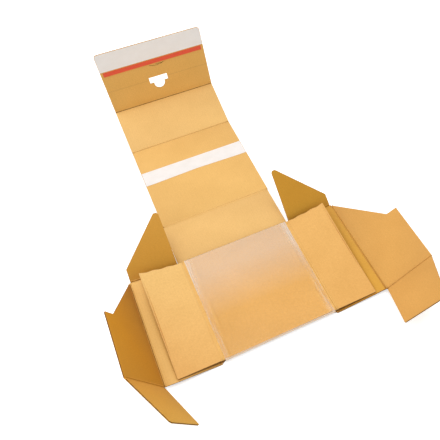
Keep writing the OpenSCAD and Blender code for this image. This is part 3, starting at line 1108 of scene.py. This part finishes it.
# Wrinkles of the film: centre, width, height and lean
FILM_RIDGES = (
    (-66.0, 1.8, 1.0, 0.03), (-70.5, 1.2, 0.7, 0.0), (63.0, 1.5, 0.8, -0.045),
    (67.0, 1.2, 1.0, -0.02), (71.0, 1.3, 1.1, 0.01),
)


def film_height(x, y):
    """Height of the slack film over the board, with wrinkles beside its two open edges."""
    lift = 0.3 + 0.10 * math.sin(x * 0.11 + 1.3) * math.sin(y * 0.07 + 0.4)
    for centre, width, height, lean in FILM_RIDGES:
        offset = (x - centre - lean * y - 1.2 * math.sin(y * 0.05 + centre)) / width
        lift += height * math.exp(-offset * offset) * (0.6 + 0.4 * math.sin(y * 0.09 + centre))
    return lift * min(1.0, (1 - abs(x) / (FILM_W / 2)) * 14 + 0.1)


def film_side_glints(x, y):
    """How strongly the side edges are creased and carry painted glints, 0 to 1: most at the four
    corners.
    """
    ends = min(1.0, 0.35 + abs(y) / 75) if x > 0 else min(1.0, 0.3 + abs(y - 8) / 80)
    width = 9.0 if x > 0 else 7.0
    return ends * max(0.0, 1 - (FILM_W / 2 - abs(x)) / width) ** 0.7


def film():
    """The clear sleeve round the insert panel: front nose, wrinkled top, rear edge, plain back.
    A height of None in the profile is worked out from the wrinkles."""
    half_x = FILM_W / 2
    front = INSERT_FRONT - FILM_GAP - FILM_T - FILM_SLACK
    rear = INSERT_REAR + FILM_GAP + FILM_T
    low = -HALF_T - FILM_UNDER
    bm = bmesh.new()
    side = bm.verts.layers.float.new("rim")
    lip = bm.verts.layers.float.new("lip")
    nose = [(front + 1.3, low, 0.0), (front + 0.5, low * 0.6, 0.7), (front, 0.0, 1.0),
            (front + 0.5, 0.55, 1.0), (front + 1.2, 0.85, 0.7),
            (front + 1.9, HALF_T + 0.12, 0.25)]
    tail = [(rear - 0.25, HALF_T + 0.1, 0.05), (rear, 0.3, 0.1), (rear - 0.1, low, 0.05)]
    first, last = front + 2.6, rear - 1.0
    top = []
    for j in range(FILM_Y_STEPS + 1):
        top.append((first + (last - first) * j / FILM_Y_STEPS, None, 0.0))
    rows = []
    for y, z, wear in nose + top + tail:
        row = []
        for i in range(FILM_X_STEPS + 1):
            x = -half_x + FILM_W * i / FILM_X_STEPS
            height = HALF_T + FILM_OVER + film_height(x, y) if z is None else z
            vert = bm.verts.new((x, y, height))
            # The rim value sets the painted glints by the side edges
            vert[side] = film_side_glints(x, y)
            vert[lip] = wear
            row.append(vert)
        rows.append(row)
    rows.append(rows[0])
    for r0, r1 in zip(rows, rows[1:]):
        for i in range(FILM_X_STEPS):
            bm.faces.new((r0[i], r0[i + 1], r1[i + 1], r1[i]))
    bmesh.ops.recalc_face_normals(bm, faces=bm.faces)
    obj = new_object("retention_film", bm, INSERT, FLAT["base"], FILM, True)
    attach(obj, "base")
    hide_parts("retention_film")


# Stage

# The camera's place in metres and turn in degrees, and the photo's focal length and centre
CAMERA_AT = (-0.0837, -0.3373, 0.5849)
CAMERA_TURN = (33.6940, 0.8966, -25.8962)
FOCAL_PX = 515.0
CENTRE_PX = (305.0, 256.4)
IMAGE_PX = 440
SENSOR_MM = 36


def camera():
    """The photo's view, with its picture centre kept by a lens shift."""
    data = bpy.data.cameras.new("camera")
    data.sensor_width = SENSOR_MM
    data.lens = FOCAL_PX / IMAGE_PX * SENSOR_MM
    data.shift_x = (IMAGE_PX / 2 - CENTRE_PX[0]) / IMAGE_PX
    data.shift_y = (CENTRE_PX[1] - IMAGE_PX / 2) / IMAGE_PX
    data.clip_start = 0.01
    data.clip_end = 20
    obj = bpy.data.objects.new("camera", data)
    bpy.context.scene.collection.objects.link(obj)
    obj.location = CAMERA_AT
    obj.rotation_euler = [math.radians(angle) for angle in CAMERA_TURN]
    bpy.context.scene.camera = obj


LIGHT_TARGET = (0, 0.08, 0)


def area_light(name, at, size, power, colour):
    data = bpy.data.lights.new(name, "AREA")
    data.shape = "DISK"
    data.size = size
    data.energy = power
    data.color = colour
    obj = bpy.data.objects.new(name, data)
    bpy.context.scene.collection.objects.link(obj)
    obj.location = at
    aim = Vector(LIGHT_TARGET) - Vector(at)
    obj.rotation_euler = aim.to_track_quat("-Z", "Y").to_euler()


# Place, width, power and colour of each light
LIGHTS = {
    "rear_left": ((-0.9, 1.3, 1.7), 0.9, 6.0, (1.0, 0.99, 0.97)),
    "top": ((0.0, 0.1, 2.3), 1.6, 18.5, (1.0, 0.99, 0.98)),
    "front_left": ((-1.4, -1.4, 1.5), 1.0, 4.5, (1.0, 0.98, 0.96)),
}
WORLD_STRENGTH = 0.72
FLOOR_SIZE = 6
FLOOR_Z = -0.0003
FLOOR_WHITE = 0.97
FLOOR_BOUNCE = 0.45
FLOOR_GLOW = 0.45


def lighting():
    """Three soft lights and a bright room, which the camera sees as plain white."""
    for name, (at, size, power, colour) in LIGHTS.items():
        area_light(name, at, size, power, colour)
    world = bpy.data.worlds.new("studio")
    bpy.context.scene.world = world
    world.use_nodes = True
    tree = world.node_tree
    tree.nodes.clear()
    path = tree.nodes.new("ShaderNodeLightPath")
    seen = tree.nodes.new("ShaderNodeBackground")
    seen.inputs["Color"].default_value = (1, 1, 1, 1)
    seen.inputs["Strength"].default_value = 1.0
    light = tree.nodes.new("ShaderNodeBackground")
    light.inputs["Color"].default_value = (1.0, 0.99, 0.98, 1)
    light.inputs["Strength"].default_value = WORLD_STRENGTH
    mix = tree.nodes.new("ShaderNodeMixShader")
    out = tree.nodes.new("ShaderNodeOutputWorld")
    tree.links.new(path.outputs["Is Camera Ray"], mix.inputs[0])
    tree.links.new(light.outputs[0], mix.inputs[1])
    tree.links.new(seen.outputs[0], mix.inputs[2])
    tree.links.new(mix.outputs[0], out.inputs["Surface"])


def floor():
    """A white floor that throws less light back than the camera sees on it."""
    nodes = Nodes("floor")
    path = nodes.add("LightPath")
    seen = nodes.add("BsdfDiffuse")
    seen.inputs["Color"].default_value = (FLOOR_WHITE, FLOOR_WHITE, FLOOR_WHITE, 1)
    other = nodes.add("BsdfDiffuse")
    other.inputs["Color"].default_value = (FLOOR_BOUNCE, FLOOR_BOUNCE, FLOOR_BOUNCE, 1)
    mix = nodes.add("MixShader")
    nodes.link(path.outputs["Is Camera Ray"], mix.inputs[0])
    glow = nodes.add("Emission")
    glow.inputs["Strength"].default_value = FLOOR_GLOW
    lit = nodes.add("AddShader")
    nodes.link(seen.outputs[0], lit.inputs[0])
    nodes.link(glow.outputs[0], lit.inputs[1])
    nodes.link(other.outputs[0], mix.inputs[1])
    nodes.link(lit.outputs[0], mix.inputs[2])
    nodes.link(mix.outputs[0], nodes.out.inputs["Surface"])
    bm = bmesh.new()
    bmesh.ops.create_grid(bm, x_segments=1, y_segments=1, size=FLOOR_SIZE)
    obj = linked("floor", bm, nodes.material)
    obj.location = (0, 0, FLOOR_Z)


outer_blank()
lid()
insert_board()
side_creases(-1)
side_creases(1)
lid_creases()
strips()
score_line()
film()
camera()
lighting()
floor()
bpy.context.scene.view_settings.view_transform = "Standard"
